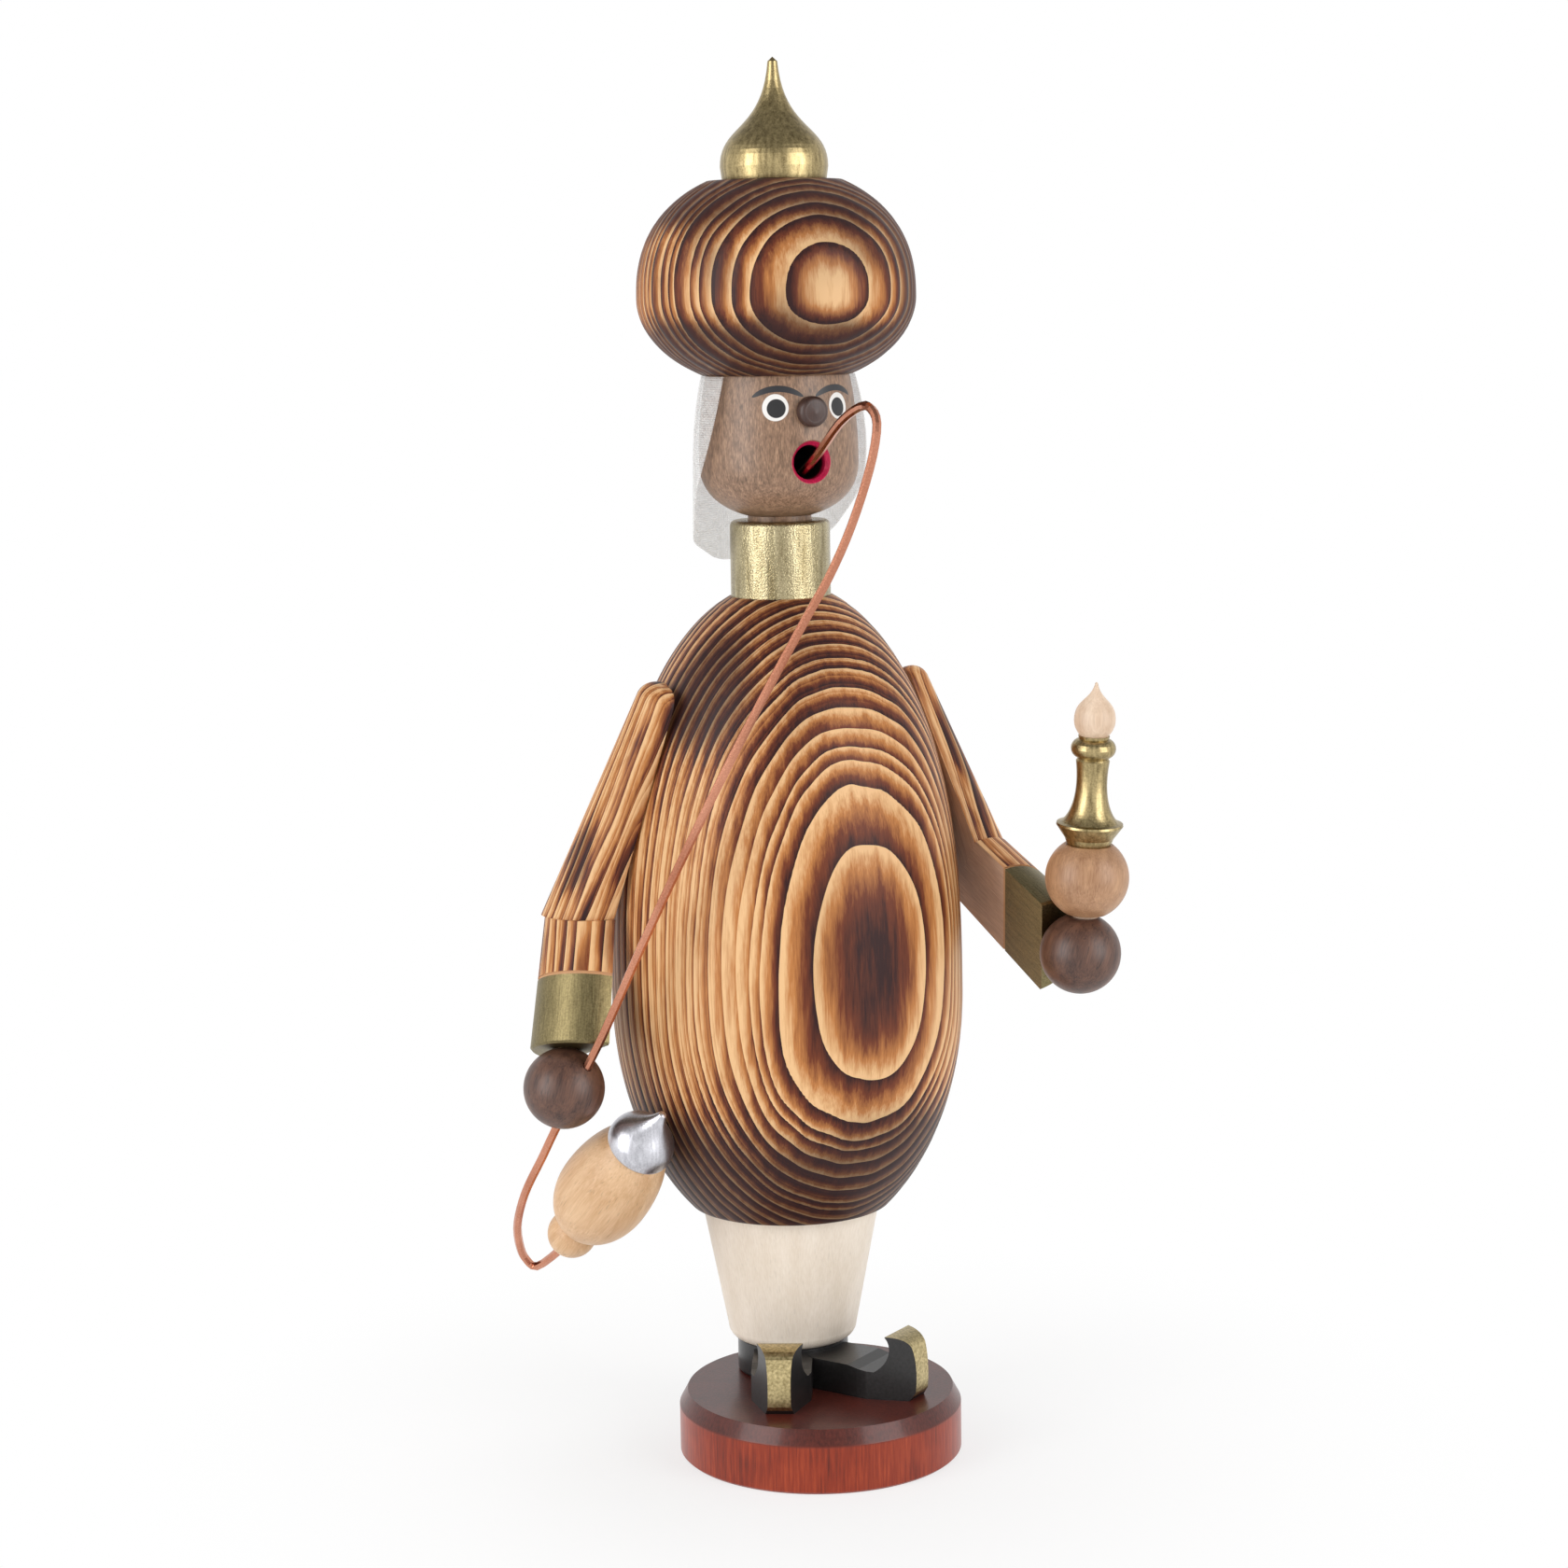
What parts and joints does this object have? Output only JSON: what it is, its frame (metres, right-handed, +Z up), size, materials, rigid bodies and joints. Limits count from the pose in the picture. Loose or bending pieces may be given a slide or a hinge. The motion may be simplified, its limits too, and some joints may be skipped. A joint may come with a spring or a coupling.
{
  "type": "german incense smoker",
  "caption": "Turned wooden pipe smoker with turban, veil, bent wire hose and lamp; the hollow figure lifts off its trouser stand to take an incense cone.",
  "frame": {"origin": "centre of the base disc's underside", "axes": "+Z up, -Y the way the figure faces, +X towards its left hand with the lamp"},
  "size_m": [0.1274, 0.0992, 0.316],
  "materials": {
    "stained_wood": "red-brown stain, glossy varnish",
    "dowel_wood": "plain beech",
    "black_paint": "satin black paint with gold toe strips",
    "maple": "matt varnish",
    "tin": "pressed sheet",
    "nail_steel": "plain",
    "scorched_wood": "scorched and brushed, gilded cuffs",
    "gold_paint": "gold paint",
    "face_wood": "brown stain, painted face",
    "nose_wood": "dark stain",
    "muslin": "thin white weave",
    "dark_wood": "satin varnish",
    "beech": "satin varnish",
    "flame_wood": "plain",
    "copper": "bright copper",
    "silver_paint": "glossy silver coat"
  },
  "bodies": {
    "stand": {"base_disc": "stained_wood", "stand_dowel": "dowel_wood", "ankle_block": "black_paint", "right_shoe": "black_paint", "left_shoe": "black_paint", "trousers": "maple", "incense_dish": "tin", "dish_nail": "nail_steel"},
    "figure": {"body_shell": "scorched_wood", "neck_collar": "gold_paint", "head": "face_wood", "nose": "nose_wood", "turban_dowel": "dowel_wood", "turban": "scorched_wood", "turban_finial": "gold_paint", "veil": "muslin", "right_shoulder_dowel": "dowel_wood", "right_upper_arm": "scorched_wood", "right_forearm": "scorched_wood", "right_wrist_peg": "dowel_wood", "right_hand": "dark_wood", "left_shoulder_dowel": "dowel_wood", "left_upper_arm": "scorched_wood", "left_forearm": "scorched_wood", "left_wrist_peg": "dowel_wood", "left_hand": "dark_wood", "lamp_peg": "dowel_wood", "lamp_ball": "beech", "lamp_stem": "gold_paint", "lamp_flame": "flame_wood", "hose_wire": "copper", "pipe_bead": "beech", "pipe_bowl": "beech", "bowl_cap": "silver_paint"}
  },
  "joints": [
    {"name": "figure_lift", "type": "slide", "parent": "stand", "child": "figure", "axis": [0, 0, 1], "range_m": [0, 0.05]}
  ]
}
